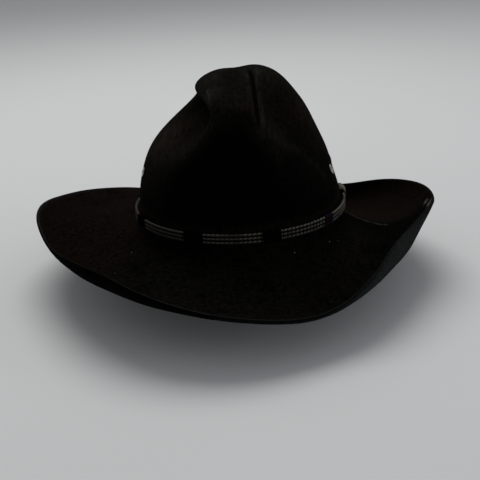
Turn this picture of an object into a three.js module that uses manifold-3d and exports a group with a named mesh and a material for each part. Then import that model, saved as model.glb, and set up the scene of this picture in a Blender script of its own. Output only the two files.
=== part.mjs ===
// A worn black felt western hat: a creased front-pinch crown, a rolled brim, a leather sweatband on its
// reed, a satin lining, four vent eyelets, and a three-strand hatband with thread wraps and a slide knot.
// Millimetres. +Z runs up through the crown, -Y is the front and +X is the wearer's left. The origin is
// the middle of the head opening, level with the line where the crown breaks into the brim.
import * as THREE from "three";
import { mergeVertices } from "three/addons/utils/BufferGeometryUtils.js";
import Module from "manifold-3d";

const wasm = await Module();
wasm.setup();

// ---- Driving dimensions ------------------------------------------------------------------------

const GAP = 0.35; // clearance between neighbouring pieces
const HALF_WIDTH = 91.3; // break line oval, outside of the felt, across
const HALF_LENGTH = 101; // break line oval, outside of the felt, fore and aft
const FELT = 2.4; // thickness of the felt
const BREAK_RADIUS = 9; // inside radius of the bend from crown to brim
const AROUND = 54; // facets round the head, shared by every ring so that their gaps stay even

const CROWN = {
  height: 136.6, // open height before creasing
  squareness: 2.4, // exponent of the side profile: 2 is an ellipse, more is boxier
  flare: 0.05, // widening with height, which rounds the shoulders
  leanLeft: 8.3, // shift of the tip to the wearer's left
  leanBack: -7.7, // shift of the tip to the back
  slope: 0.11, // rise of the top from front to back
  turn: 3, // degrees that the creases are turned towards the wearer's left
  pinch: 0.5, // how far the front is drawn together at the top
  pinchFront: -95, // where the pinch is strongest, fore and aft
  pinchReach: 75, // how fast the pinch dies towards the back
  rows: 18, // rings of facets from break to tip
  crowding: 1.1, // power that draws the rings together near the break
};

// Finger dents of the crown. Heights and reaches are Gaussian half-widths about the dent's middle,
// and tilt lifts the middle towards the back, in mm per mm.
const RIGHT_DENT = {
  depth: 45.1, height: 103, above: 14.8, below: 19.7, front: 36, back: 60, middle: -28, tilt: 0.08,
};
const LEFT_DENT = {
  depth: 28.6, height: 105.6, above: 34.7, below: 53.6, front: 42, back: 60, middle: -28, tilt: 0,
};
const DENT_CORE = 42; // distance from the crease line over which a dent takes hold
const DENT_SIDE = 14; // width of the hand-over between the two dents
const DENT_FLOOR = 8; // height below which the wall is left plain for the hatband
const DENT_RAMP = 36; // height over which the dents come in above that
const CREASE = { depth: 4.3, halfWidth: 12, middle: -10, front: 50, back: 60 };

// Brim stations every 30 degrees from the front towards the wearer's left: width along the felt,
// slope where it leaves the crown, slope at the edge, and how late the roll comes (the power of the
// fraction of the width). The wearer's left is rolled hard over a trough that falls to the back.
const BRIM = [
  { width: 94.7, start: -18.2, end: 45.9, curl: 3.1 },
  { width: 88.4, start: -32.3, end: 59.3, curl: 3.1 },
  { width: 86.1, start: -21.4, end: 145.9, curl: 3.8 },
  { width: 94, start: -26.5, end: 68.9, curl: 1.5 },
  { width: 102.3, start: -36.7, end: 84.7, curl: 1.8 },
  { width: 105.4, start: -46.1, end: 108.4, curl: 3 },
  { width: 101.1, start: -26.6, end: -41.5, curl: 3.1 },
  { width: 99.7, start: -12.3, end: -22.9, curl: 3.2 },
  { width: 100.2, start: -7.7, end: 22.1, curl: 3.1 },
  { width: 101.6, start: -2.9, end: 46.1, curl: 3.1 },
  { width: 90.6, start: -16.1, end: 73.4, curl: 3.1 },
  { width: 93.6, start: -15.8, end: 90.4, curl: 3.1 },
];
const BRIM_ROWS = 9; // rings of facets from break to edge
const BREAK_ROWS = 3; // rings of facets in the bend
const PROFILE_STEPS = 24; // steps along the felt when the brim's profile is summed

const BAND = { middle: 16.5, tilt: 3, strand: 2.4, pitch: 3.2, standOff: 1.9 };
const CORD_SIDES = 6; // facets round each strand and the reed
const WRAP = { wall: 0.75, steps: 2, chamfer: 1.2, boreChamfer: 0.6 };
const WRAPS = [
  { middle: -57, length: 16.5 }, // middle in degrees from the front
  { middle: -17, length: 18.5 },
  { middle: 22, length: 16.5 },
  { middle: 58, length: 11.5 },
  { middle: 98.5, length: 8 },
  { middle: 138, length: 18.5 },
  { middle: 179, length: 16.5 },
  { middle: 220, length: 11.5 },
  { middle: 262, length: 16.5 },
];
const KNOT = {
  middle: 105.5, // degrees from the front
  length: 12,
  bore: 0.5, // margin round the strands
  chamfer: 0.6,
  lobe: 3, // wall at the fat of each lobe
  waist: 1.6, // wall between the lobes and at the ends
  back: 0.6, // wall against the crown
  roundness: 0.6, // power of the sine that shapes the lobes: less is fuller
  steps: 8,
};

const SWEATBAND = { levels: [2.8, 18, 27, 36], leather: 1.1, inset: 3.85 };
const REED = { radius: 0.9, height: 1 };
const TAPE = { thickness: 0.35, top: 11, bottom: -0.7 };
const LINING = {
  tuck: [18, 27, 37], // heights of the part tucked behind the sweatband
  free: [42, 55, 70, 82, 92, 100, 107, 112.9], // heights of the part in sight, up to the tip's seam
  tuckInset: 3,
  inset: 6.6,
  cloth: 0.4,
};
const TIP_RISES = [0.95, 1.08, 1.2, 1.32, 1.45]; // rings of the lining's tip, seam first, in radians
const SHIELD = { rings: 3, film: 0.3, gap: 0.7 }; // clear film under the innermost rings of the tip
const BOW = {
  halfWidth: 13,
  loop: 5, // half height of each loop's end
  bulge: 6.5, // half height that the loop's curves are drawn towards, half way along
  thickness: 0.9,
  knot: 4, // width of the tie
  knotTall: 6,
  knotDeep: 2,
  height: 13, // middle of the bow above the break line
  curveSegments: 5,
};

const EYELET = { bore: 2.1, barrel: 2.8, flange: 4.4, flangeThickness: 0.5, bevel: 0.3, reach: 4.6 };
const EYELET_ROLL = { radius: 3.9, thickness: 0.5, fillet: 0.2 }; // end of the barrel, turned over inside
const VENTS = [
  { name: "left_front", angle: 91, height: 46 },
  { name: "right_front", angle: -75, height: 54 },
  { name: "left_rear", angle: 111, height: 46 },
  { name: "right_rear", angle: -95, height: 54 },
];
const EYELET_FACETS = 16;
const VERTEX_MERGE = 1e-4; // points closer than this are one vertex
const WASHER = { thickness: 0.6, outer: 4.6 };

// ---- Materials ---------------------------------------------------------------------------------

const felt = new THREE.MeshStandardMaterial({ color: 0x17130f, roughness: 0.95, metalness: 0 });
const leather = new THREE.MeshStandardMaterial({ color: 0x3a2416, roughness: 0.6, metalness: 0 });
const ribbon = new THREE.MeshStandardMaterial({ color: 0x15120f, roughness: 0.7, metalness: 0 });
const satin = new THREE.MeshStandardMaterial({ color: 0x8c8478, roughness: 0.35, metalness: 0 });
const film = new THREE.MeshStandardMaterial({ color: 0xd8dcdc, roughness: 0.1, metalness: 0 });
const plastic = new THREE.MeshStandardMaterial({ color: 0xb9b4a6, roughness: 0.5, metalness: 0 });
const nickel = new THREE.MeshStandardMaterial({ color: 0xb4b0a8, roughness: 0.35, metalness: 1 });
const horsehair = new THREE.MeshStandardMaterial({ color: 0x6a655c, roughness: 0.8, metalness: 0 });
const thread = new THREE.MeshStandardMaterial({ color: 0x0d0b0d, roughness: 0.75, metalness: 0 });
const cream = new THREE.MeshStandardMaterial({ color: 0x8f8576, roughness: 0.8, metalness: 0 });

const part = new THREE.Group();

function addPiece(name, geometry, material) {
  const mesh = new THREE.Mesh(geometry, material);
  mesh.name = name;
  part.add(mesh);
}

// ---- Small helpers -----------------------------------------------------------------------------

const radians = THREE.MathUtils.degToRad;

// Smooth periodic value round the hat from equally spaced station values (Catmull-Rom).
function around(values, angle) {
  const count = values.length;
  const turns = angle / (2 * Math.PI);
  const place = (turns - Math.floor(turns)) * count;
  const index = Math.floor(place) % count;
  const t = place - Math.floor(place);
  const [a, b, c, d] = [-1, 0, 1, 2].map((step) => values[(index + step + count) % count]);
  const linear = (c - a) * t;
  const square = (2 * a - 5 * b + 4 * c - d) * t * t;
  const cubic = (3 * b - a - 3 * c + d) * t * t * t;
  return 0.5 * (2 * b + linear + square + cubic);
}

// A Gaussian with its own half-width on each side of the middle.
function bell(value, middle, low, high) {
  const reach = value < middle ? low : high;
  return Math.exp(-(((value - middle) / reach) ** 2));
}

// Horizontal unit vector out of the break line oval.
function outward(angle) {
  const across = HALF_LENGTH * Math.sin(angle);
  const along = -HALF_WIDTH * Math.cos(angle);
  return new THREE.Vector2(across, along).normalize();
}

// A point given by its distance outside the break line oval and its height.
function beside(angle, distance, height) {
  const normal = outward(angle);
  const x = HALF_WIDTH * Math.sin(angle) + normal.x * distance;
  const y = -HALF_LENGTH * Math.cos(angle) + normal.y * distance;
  return new THREE.Vector3(x, y, height);
}

// ---- Crown surface -----------------------------------------------------------------------------

// Inward push of a finger dent at a height and a place fore and aft.
function dentPush(dent, along, height) {
  const middle = dent.height + dent.tilt * (along - dent.middle);
  const ramp = THREE.MathUtils.smoothstep(height, DENT_FLOOR, DENT_FLOOR + DENT_RAMP);
  const tall = bell(height, middle, dent.below, dent.above);
  return dent.depth * ramp * tall * bell(along, dent.middle, dent.front, dent.back);
}

// Outer face of the crown. rise runs from 0 at the break line to a quarter turn at the tip.
function crownPoint(angle, rise) {
  const power = 2 / CROWN.squareness;
  const level = Math.sin(rise) ** power;
  const reach = Math.max(Math.cos(rise), 0) ** power * (1 + CROWN.flare * level);
  const x = HALF_WIDTH * reach * Math.sin(angle) + CROWN.leanLeft * level ** 2;
  const sloped = -HALF_LENGTH * reach * Math.cos(angle);
  const y = sloped + CROWN.leanBack * level ** 2;
  let z = CROWN.height * level * (1 + CROWN.slope * (sloped / HALF_LENGTH) * level ** 2);
  const turn = radians(CROWN.turn);
  const along = y * Math.cos(turn) - x * Math.sin(turn);
  let across = x * Math.cos(turn) + y * Math.sin(turn);
  const front = bell(along, CROWN.pinchFront, CROWN.pinchReach, CROWN.pinchReach);
  across *= 1 - CROWN.pinch * Math.min(z / CROWN.height, 1) ** 2 * front;
  const leftShare = 0.5 * (1 + Math.tanh(across / DENT_SIDE));
  const hold = Math.tanh(Math.abs(across) / DENT_CORE);
  const inFromLeft = dentPush(LEFT_DENT, along, z) * leftShare;
  const inFromRight = dentPush(RIGHT_DENT, along, z) * (1 - leftShare);
  across += hold * (inFromRight - inFromLeft);
  const crease = Math.exp(-((across / CREASE.halfWidth) ** 2)) * level ** 6;
  z -= CREASE.depth * crease * bell(along, CREASE.middle, CREASE.front, CREASE.back);
  const crownX = across * Math.cos(turn) - along * Math.sin(turn);
  const crownY = across * Math.sin(turn) + along * Math.cos(turn);
  return new THREE.Vector3(crownX, crownY, z);
}

// Unit normal out of the crown, from neighbouring points of the surface.
function crownNormal(angle, rise) {
  const step = 0.004;
  const top = Math.min(rise, Math.PI / 2 - 2 * step);
  const alongAngle = crownPoint(angle + step, top).sub(crownPoint(angle - step, top));
  const alongRise = crownPoint(angle, top + step).sub(crownPoint(angle, top - step));
  return alongAngle.cross(alongRise).normalize();
}

// A point inside the crown, measured in from its outer face.
function crownInside(angle, rise, inset) {
  if (rise >= Math.PI / 2) {
    return crownPoint(0, Math.PI / 2).add(new THREE.Vector3(0, 0, -inset));
  }
  return crownPoint(angle, rise).addScaledVector(crownNormal(angle, rise), -inset);
}

// The rise at which the open crown reaches a height.
function riseAt(height) {
  return Math.asin(Math.min(height / CROWN.height, 1) ** (CROWN.squareness / 2));
}

// ---- Lofts -------------------------------------------------------------------------------------

function fromTriangles(points, faces) {
  const geometry = new THREE.BufferGeometry();
  const position = points.flatMap((point) => [point.x, point.y, point.z]);
  geometry.setAttribute("position", new THREE.Float32BufferAttribute(position, 3));
  geometry.setIndex(faces);
  geometry.computeVertexNormals();
  return geometry;
}

// Faces between neighbouring sections. Each section lists its points in the same order.
function stitch(faces, rows, columns, closedRows) {
  const last = closedRows ? rows : rows - 1;
  for (let row = 0; row < last; row++) {
    for (let column = 0; column < columns; column++) {
      const a = row * columns + column;
      const b = row * columns + ((column + 1) % columns);
      const c = ((row + 1) % rows) * columns + column;
      const d = ((row + 1) % rows) * columns + ((column + 1) % columns);
      faces.push(a, c, b, b, c, d);
    }
  }
}

// A closed ring right round the hat. sectionAt(angle) gives the section's points, in order from the
// lower inside corner outwards, then up, then back in.
function ring(sectionAt) {
  const points = [];
  for (let i = 0; i < AROUND; i++) {
    points.push(...sectionAt((2 * Math.PI * i) / AROUND));
  }
  const faces = [];
  stitch(faces, AROUND, points.length / AROUND, true);
  return fromTriangles(points, faces);
}

// A closed skin over the top of the head: outer rows from edge to tip, then the inner tip, then the
// inner rows back to the edge. Rows are functions of the angle; tips are single points.
function dome(outerRows, outerTip, innerTip, innerRows) {
  const rows = [...innerRows, ...outerRows];
  const points = [];
  for (const row of rows) {
    for (let i = 0; i < AROUND; i++) points.push(row((2 * Math.PI * i) / AROUND));
  }
  points.push(outerTip, innerTip);
  const faces = [];
  for (let row = 0; row < rows.length - 1; row++) {
    for (let i = 0; i < AROUND; i++) {
      const next = (i + 1) % AROUND;
      const [a, b] = [row * AROUND + i, row * AROUND + next];
      faces.push(a, b, a + AROUND);
      faces.push(b, b + AROUND, a + AROUND);
    }
  }
  const topRow = (rows.length - 1) * AROUND;
  for (let i = 0; i < AROUND; i++) {
    const next = (i + 1) % AROUND;
    faces.push(topRow + i, topRow + next, points.length - 2);
    faces.push(next, i, points.length - 1);
  }
  return fromTriangles(points, faces);
}

// ---- Joining and cutting -----------------------------------------------------------------------

function toSolid(geometry) {
  const bare = geometry.clone();
  bare.deleteAttribute("normal");
  bare.deleteAttribute("uv");
  const merged = mergeVertices(bare, VERTEX_MERGE);
  const vertProperties = merged.attributes.position.array;
  const triVerts = new Uint32Array(merged.index.array);
  return new wasm.Manifold(new wasm.Mesh({ numProp: 3, vertProperties, triVerts }));
}

function toGeometry(solid) {
  const mesh = solid.getMesh();
  const geometry = new THREE.BufferGeometry();
  geometry.setAttribute("position", new THREE.BufferAttribute(mesh.vertProperties, 3));
  geometry.setIndex(new THREE.BufferAttribute(mesh.triVerts, 1));
  geometry.computeVertexNormals();
  return geometry;
}

// ---- Felt body: crown and brim blocked from one felt --------------------------------------------

function brimStation(angle) {
  return {
    width: around(BRIM.map((station) => station.width), angle),
    start: radians(around(BRIM.map((station) => station.start), angle)),
    end: radians(around(BRIM.map((station) => station.end), angle)),
    curl: around(BRIM.map((station) => station.curl), angle),
  };
}

// Distance out and height of the brim's upper face after a fraction of its width, with its slope.
function brimProfile(angle, fraction) {
  const { width, start, end, curl } = brimStation(angle);
  const slopeAt = (t) => start + (end - start) * t ** curl;
  const stride = fraction / PROFILE_STEPS;
  let out = 0;
  let height = 0;
  for (let i = 0; i < PROFILE_STEPS; i++) {
    const slope = slopeAt((i + 0.5) * stride);
    out += Math.cos(slope) * stride * width;
    height += Math.sin(slope) * stride * width;
  }
  return { out, height, slope: slopeAt(fraction) };
}

// Length from the corner of wall and brim to where the bend leaves either.
function breakLength(angle) {
  return BREAK_RADIUS * Math.tan(Math.PI / 4 + brimStation(angle).start / 2);
}

// The bend from crown to brim, at a distance below the upper face of the felt.
function bendPoint(angle, fraction, inset) {
  const length = breakLength(angle);
  const turn = Math.PI / 2 + brimStation(angle).start;
  const heading = Math.PI + turn * fraction;
  const radius = BREAK_RADIUS + inset;
  const out = BREAK_RADIUS + radius * Math.cos(heading);
  return beside(angle, out, length + radius * Math.sin(heading));
}

function brimPoint(angle, fraction, inset) {
  const first = breakLength(angle) / brimStation(angle).width;
  const { out, height, slope } = brimProfile(angle, first + (1 - first) * fraction);
  return beside(angle, out + inset * Math.sin(slope), height - inset * Math.cos(slope));
}

function feltRows(inset) {
  const rows = [];
  for (let i = BRIM_ROWS; i > 0; i--) {
    rows.push((angle) => brimPoint(angle, i / BRIM_ROWS, inset));
  }
  for (let i = BREAK_ROWS; i >= 0; i--) {
    rows.push((angle) => bendPoint(angle, i / BREAK_ROWS, inset));
  }
  for (let i = 1; i < CROWN.rows; i++) {
    const rise = (Math.PI / 2) * (i / CROWN.rows) ** CROWN.crowding;
    rows.push((angle) => crownInside(angle, rise, inset));
  }
  return rows;
}

function feltShell() {
  const tip = Math.PI / 2;
  const outerRows = feltRows(0);
  const innerRows = feltRows(FELT).reverse();
  return dome(outerRows, crownInside(0, tip, 0), crownInside(0, tip, FELT), innerRows);
}

// ---- Vent eyelets ------------------------------------------------------------------------------

// Places a geometry made along +Z so that +Z points out of the crown at a vent.
function atVent(geometry, vent, inset) {
  const angle = radians(vent.angle);
  const rise = riseAt(vent.height);
  const normal = crownNormal(angle, rise);
  const turn = new THREE.Quaternion().setFromUnitVectors(new THREE.Vector3(0, 0, 1), normal);
  const place = crownInside(angle, rise, inset);
  return geometry.applyMatrix4(new THREE.Matrix4().compose(place, turn, new THREE.Vector3(1, 1, 1)));
}

// A solid of revolution about +Z from a closed outline of radius and height.
function turned(outline) {
  const profile = outline.map(([radius, height]) => new THREE.Vector2(radius, height));
  return new THREE.LatheGeometry(profile, EYELET_FACETS).rotateX(Math.PI / 2);
}

// Flange outside, barrel through the felt, and the barrel's end rolled over the washer inside.
function eyeletGeometry() {
  const { bore, barrel, flange, flangeThickness, bevel, reach } = EYELET;
  const { radius, thickness, fillet } = EYELET_ROLL;
  return turned([
    [bore, -reach],
    [radius, -reach],
    [radius, thickness - reach],
    [barrel, thickness + fillet - reach],
    [barrel, GAP],
    [flange, GAP],
    [flange - bevel, GAP + flangeThickness],
    [bore + bevel, GAP + flangeThickness],
    [bore, GAP],
    [bore, -reach],
  ]);
}

function washerGeometry() {
  const bore = EYELET.barrel + GAP;
  const top = -FELT - 2 * GAP;
  const bottom = top - WASHER.thickness;
  return turned([
    [bore, bottom],
    [WASHER.outer, bottom],
    [WASHER.outer, top],
    [bore, top],
    [bore, bottom],
  ]);
}

function feltWithVents() {
  const radius = EYELET.barrel + GAP;
  let body = toSolid(feltShell());
  for (const vent of VENTS) {
    const drill = new THREE.CylinderGeometry(radius, radius, 4 * FELT, EYELET_FACETS);
    body = body.subtract(toSolid(atVent(drill.rotateX(Math.PI / 2), vent, FELT / 2)));
  }
  return toGeometry(body);
}

addPiece("felt_body", feltWithVents(), felt);
for (const vent of VENTS) {
  addPiece(`eyelet_${vent.name}`, atVent(eyeletGeometry(), vent, 0), nickel);
  addPiece(`eyelet_washer_${vent.name}`, atVent(washerGeometry(), vent, 0), nickel);
}

// ---- Inside fittings ---------------------------------------------------------------------------

// A strip standing against the inside of the crown, from a lower to an upper height.
function wallStrip(levels, thickness) {
  const at = (angle, { height, inset }, depth) =>
    crownInside(angle, riseAt(height), inset + depth);
  return ring((angle) => [
    ...levels.map((level) => at(angle, level, 0)),
    ...[...levels].reverse().map((level) => at(angle, level, thickness)),
  ]);
}

function sweatbandGeometry() {
  const { levels, leather: thickness, inset } = SWEATBAND;
  return wallStrip(levels.map((height) => ({ height, inset })), thickness);
}

// Round rod along the foot of the sweatband.
function reedGeometry() {
  const middle = -(SWEATBAND.inset + SWEATBAND.leather / 2);
  return ring((angle) => circle(CORD_SIDES, REED.radius).map(([out, up]) =>
    beside(angle, middle + out, REED.height + up)));
}

// Corners of a regular polygon, listed from the bottom towards the outside.
function circle(sides, radius) {
  return Array.from({ length: sides }, (_, i) => {
    const turn = (2 * Math.PI * i) / sides - Math.PI / 2;
    return [radius * Math.cos(turn), radius * Math.sin(turn)];
  });
}

// Tape sewn to the felt, standing behind the leather and turned in under the reed.
function tapeGeometry() {
  const { thickness, top, bottom } = TAPE;
  const back = -(FELT + GAP);
  const front = -(SWEATBAND.inset + SWEATBAND.leather);
  return ring((angle) => [
    beside(angle, front, bottom),
    beside(angle, back, bottom),
    beside(angle, back, top),
    beside(angle, back - thickness, top),
    beside(angle, back - thickness, bottom + thickness),
    beside(angle, front, bottom + thickness),
  ]);
}

function liningSideGeometry() {
  const { tuck, free, tuckInset, inset, cloth } = LINING;
  const tucked = tuck.map((height) => ({ height, inset: tuckInset }));
  return wallStrip([...tucked, ...free.map((height) => ({ height, inset }))], cloth);
}

// A skin hung inside the top of the crown, from its lowest rise up to the tip.
function cap(rises, inset, thickness) {
  const rowsAt = (depth) => rises.map((rise) => (angle) => crownInside(angle, rise, depth));
  const tipAt = (depth) => crownInside(0, Math.PI / 2, depth);
  const innerRows = rowsAt(inset + thickness).reverse();
  return dome(rowsAt(inset), tipAt(inset), tipAt(inset + thickness), innerRows);
}

// Small flat ribbon bow lying on the leather at the back, with its knot standing proud.
function bowGeometry() {
  const { halfWidth, loop, bulge, thickness, knot, knotTall, knotDeep, height, curveSegments } = BOW;
  const outline = new THREE.Shape();
  outline.moveTo(0, knot / 2);
  outline.quadraticCurveTo(halfWidth / 2, bulge, halfWidth, loop);
  outline.lineTo(halfWidth, -loop);
  outline.quadraticCurveTo(halfWidth / 2, -bulge, 0, -knot / 2);
  outline.quadraticCurveTo(-halfWidth / 2, -bulge, -halfWidth, -loop);
  outline.lineTo(-halfWidth, loop);
  outline.quadraticCurveTo(-halfWidth / 2, bulge, 0, knot / 2);
  const options = { depth: thickness, bevelEnabled: false, curveSegments };
  const loops = new THREE.ExtrudeGeometry(outline, options);
  const tie = new THREE.BoxGeometry(knot, knotTall, knotDeep);
  tie.translate(0, 0, knotDeep / 2);
  const bow = toGeometry(toSolid(loops).add(toSolid(tie)));
  const skin = SWEATBAND.inset + SWEATBAND.leather + 2 * GAP;
  const place = bow.getAttribute("position");
  for (let i = 0; i < place.count; i++) {
    const angle = Math.PI - place.getX(i) / HALF_WIDTH;
    const rise = riseAt(height + place.getY(i));
    const point = crownInside(angle, rise, skin + place.getZ(i));
    place.setXYZ(i, point.x, point.y, point.z);
  }
  return bow;
}

addPiece("sweatband", sweatbandGeometry(), leather);
addPiece("sweatband_reed", reedGeometry(), plastic);
addPiece("reed_tape", tapeGeometry(), ribbon);
addPiece("sweatband_bow", bowGeometry(), ribbon);
addPiece("lining_side", liningSideGeometry(), satin);
addPiece("lining_tip", cap(TIP_RISES, LINING.inset, LINING.cloth), satin);
const shieldInset = LINING.inset + LINING.cloth + SHIELD.gap;
addPiece("lining_shield", cap(TIP_RISES.slice(-SHIELD.rings), shieldInset, SHIELD.film), film);

// ---- Hatband -----------------------------------------------------------------------------------

// Distance of the strands' centre line outside the break line oval.
const STRAND_OUT = BAND.standOff + BAND.strand / 2;

function bandHeight(angle) {
  return BAND.middle + BAND.tilt * Math.cos(angle);
}

function strandGeometry(offset) {
  return ring((angle) => circle(CORD_SIDES, BAND.strand / 2).map(([out, up]) =>
    beside(angle, STRAND_OUT + out, bandHeight(angle) + offset + up)));
}

// Half section of the three strands together, with a margin all round: half depth and half height.
function bundle(margin) {
  return [BAND.strand / 2 + margin, BAND.pitch + BAND.strand / 2 + margin];
}

// Chamfered rectangle about the bundle, listed from the bottom towards the outside.
function bundleSection(margin, chamfer) {
  const [deep, tall] = bundle(margin);
  return [
    [deep - chamfer, -tall],
    [deep, chamfer - tall],
    [deep, tall - chamfer],
    [deep - chamfer, tall],
    [chamfer - deep, tall],
    [-deep, tall - chamfer],
    [-deep, chamfer - tall],
    [chamfer - deep, -tall],
  ];
}

// A tube round the strands between two angles. outerAt(t) and bore are sections; t runs 0 to 1.
function sleeve(from, to, steps, outerAt, bore) {
  const points = [];
  const place = (angle, [out, up]) => beside(angle, STRAND_OUT + out, bandHeight(angle) + up);
  const stations = Array.from({ length: steps + 1 }, (_, i) => i / steps);
  for (const t of stations) {
    points.push(...outerAt(t).map((corner) => place(from + (to - from) * t, corner)));
  }
  for (const t of [...stations].reverse()) {
    points.push(...bore.map((corner) => place(from + (to - from) * t, corner)));
  }
  const faces = [];
  stitch(faces, 2 * stations.length, bore.length, true);
  return fromTriangles(points, faces);
}

function wrapGeometry({ middle, length }) {
  const half = length / 2 / (HALF_LENGTH + STRAND_OUT);
  const centre = radians(middle);
  const outer = bundleSection(GAP + WRAP.wall, WRAP.chamfer);
  const bore = bundleSection(GAP, WRAP.boreChamfer);
  return sleeve(centre - half, centre + half, WRAP.steps, () => outer, bore);
}

// Two fat lobes side by side, joined at a waist: the slide that sets the band's length.
function knotGeometry() {
  const { middle, length, bore, chamfer, lobe, waist, back, roundness, steps } = KNOT;
  const half = length / 2 / (HALF_LENGTH + STRAND_OUT);
  const lobesAt = (t) => Math.abs(Math.sin(2 * Math.PI * t)) ** roundness;
  const inner = bundleSection(bore, chamfer);
  const outerAt = (t) => {
    const wall = waist + (lobe - waist) * lobesAt(t);
    return inner.map(([out, up]) => [out > 0 ? out + wall : out - back, up + Math.sign(up) * wall]);
  };
  const centre = radians(middle);
  return sleeve(centre - half, centre + half, steps, outerAt, inner);
}

const strandNames = ["lower", "middle", "upper"];
strandNames.forEach((name, index) => {
  addPiece(`band_strand_${name}`, strandGeometry((index - 1) * BAND.pitch), horsehair);
});
WRAPS.forEach((wrap, index) => {
  addPiece(`band_wrap_${index + 1}`, wrapGeometry(wrap), thread);
});
addPiece("band_slide_knot", knotGeometry(), cream);

export default part;
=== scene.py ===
"""A worn black felt western hat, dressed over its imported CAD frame.

Metres, in the CAD frame: +Z up through the crown, -Y the front, +X the wearer's left. The surface
functions work in millimetres, as the CAD's driving dimensions are, and meshes are scaled on the way in.
"""

import math
from types import SimpleNamespace as Sizes

import bpy
import numpy as np
from mathutils import Matrix, Vector


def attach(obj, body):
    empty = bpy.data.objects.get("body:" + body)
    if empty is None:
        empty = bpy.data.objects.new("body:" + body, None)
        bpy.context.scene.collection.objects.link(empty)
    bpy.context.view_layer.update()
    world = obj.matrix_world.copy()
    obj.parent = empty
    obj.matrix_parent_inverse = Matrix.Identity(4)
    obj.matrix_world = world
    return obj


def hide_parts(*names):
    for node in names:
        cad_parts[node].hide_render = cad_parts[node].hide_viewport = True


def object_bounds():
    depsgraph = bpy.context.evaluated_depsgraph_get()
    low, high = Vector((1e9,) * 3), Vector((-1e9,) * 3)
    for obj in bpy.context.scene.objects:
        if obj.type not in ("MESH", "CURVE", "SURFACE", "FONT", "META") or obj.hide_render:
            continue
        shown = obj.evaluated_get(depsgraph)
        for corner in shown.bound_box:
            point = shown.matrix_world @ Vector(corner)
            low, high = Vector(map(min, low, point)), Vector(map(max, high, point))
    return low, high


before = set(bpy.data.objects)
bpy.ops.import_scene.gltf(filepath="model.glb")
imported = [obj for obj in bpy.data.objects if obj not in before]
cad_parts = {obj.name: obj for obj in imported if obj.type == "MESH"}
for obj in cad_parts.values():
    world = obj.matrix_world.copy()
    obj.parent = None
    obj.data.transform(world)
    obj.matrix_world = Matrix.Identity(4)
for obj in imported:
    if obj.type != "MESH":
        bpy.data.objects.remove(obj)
cad_low, cad_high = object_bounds()

MM = 0.001
TAU = 2 * math.pi
TIP = math.pi / 2  # the crown's rise at its tip
UP = np.array([0.0, 0.0, 1.0])
ROUND = 400  # points round the hat
ANGLES = np.arange(ROUND) * (TAU / ROUND)

# ---- Driving dimensions of the CAD model, in millimetres and degrees ----

HALF_WIDTH = 91.3
HALF_LENGTH = 101.0
FELT = 2.4
BREAK_RADIUS = 9.0
CROWN = Sizes(height=136.6, squareness=2.4, flare=0.05, left=8.3, back=-7.7, slope=0.11, turn=3.0)
PINCH = Sizes(amount=0.5, front=-95.0, reach=75.0)
RIGHT_DENT = Sizes(depth=45.1, height=103.0, above=14.8, below=19.7, front=36, middle=-28, tilt=0.08)
LEFT_DENT = Sizes(depth=28.6, height=105.6, above=34.7, below=53.6, front=42, middle=-28, tilt=0.0)
DENTS = Sizes(back=60.0, core=42.0, side=14.0, floor=8.0, ramp=36.0)
CREASE = Sizes(depth=4.3, half_width=12.0, middle=-10.0, front=50.0, back=60.0)
BRIM_WIDTH = [94.7, 88.4, 86.1, 94, 102.3, 105.4, 101.1, 99.7, 100.2, 101.6, 90.6, 93.6]
BRIM_START = [-18.2, -32.3, -21.4, -26.5, -36.7, -46.1, -26.6, -12.3, -7.7, -2.9, -16.1, -15.8]
BRIM_END = [45.9, 59.3, 145.9, 68.9, 84.7, 108.4, -41.5, -22.9, 22.1, 46.1, 73.4, 90.4]
BRIM_CURL = [3.1, 3.1, 3.8, 1.5, 1.8, 3, 3.1, 3.2, 3.1, 3.1, 3.1, 3.1]
BAND = Sizes(middle=16.5, tilt=3.0, strand=2.4, pitch=3.2, stand_off=1.9, girth=620.0)
STRAND_OUT = BAND.stand_off + BAND.strand / 2
WRAP_MIDDLES = [-57, -17, 22, 58, 98.5, 138, 179, 220, 262]
WRAP_LENGTHS = [16.5, 18.5, 16.5, 11.5, 8, 18.5, 16.5, 11.5, 16.5]
PLUM_WRAPS = (3, 7)
WRAP = Sizes(pitch=0.75, wall=0.62, lobe=0.0, room=0.2)
KNOT = Sizes(middle=105.5, length=12.0, pitch=0.9, wall=0.7, lobe=2.1, room=0.45)
VENTS = {"left_front": (91, 46), "right_front": (-75, 54), "left_rear": (111, 46), "right_rear": (-95, 54)}
HOLE = Sizes(radius=3.3, reach=8.0)

# ---- Surface functions ----


def smoothstep(value, low, high):
    t = np.clip((value - low) / (high - low), 0, 1)
    return t * t * (3 - 2 * t)


def bell(value, middle, low, high):
    """A Gaussian with its own half-width on each side of the middle."""
    return np.exp(-(((value - middle) / np.where(value < middle, low, high)) ** 2))


def spot(points, middle, reach):
    """A soft round patch about a point."""
    return np.exp(-((np.linalg.norm(points - np.array(middle, float), axis=-1) / reach) ** 2))


def patches(points, table):
    """The sum of the soft patches in a table of (strength, middle, reach)."""
    return sum(strength * spot(points, middle, reach) for strength, middle, reach in table)


def stroke(points, ends, reach):
    """A soft line through a list of points."""
    mark = np.zeros(points.shape[:-1])
    for start, end in zip(np.array(ends), np.array(ends)[1:]):
        span = end - start
        along = np.clip((points - start) @ span / (span @ span), 0, 1)
        away = np.linalg.norm(points - start - along[..., None] * span, axis=-1)
        mark = np.maximum(mark, np.exp(-((away / reach) ** 2)))
    return mark


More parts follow.
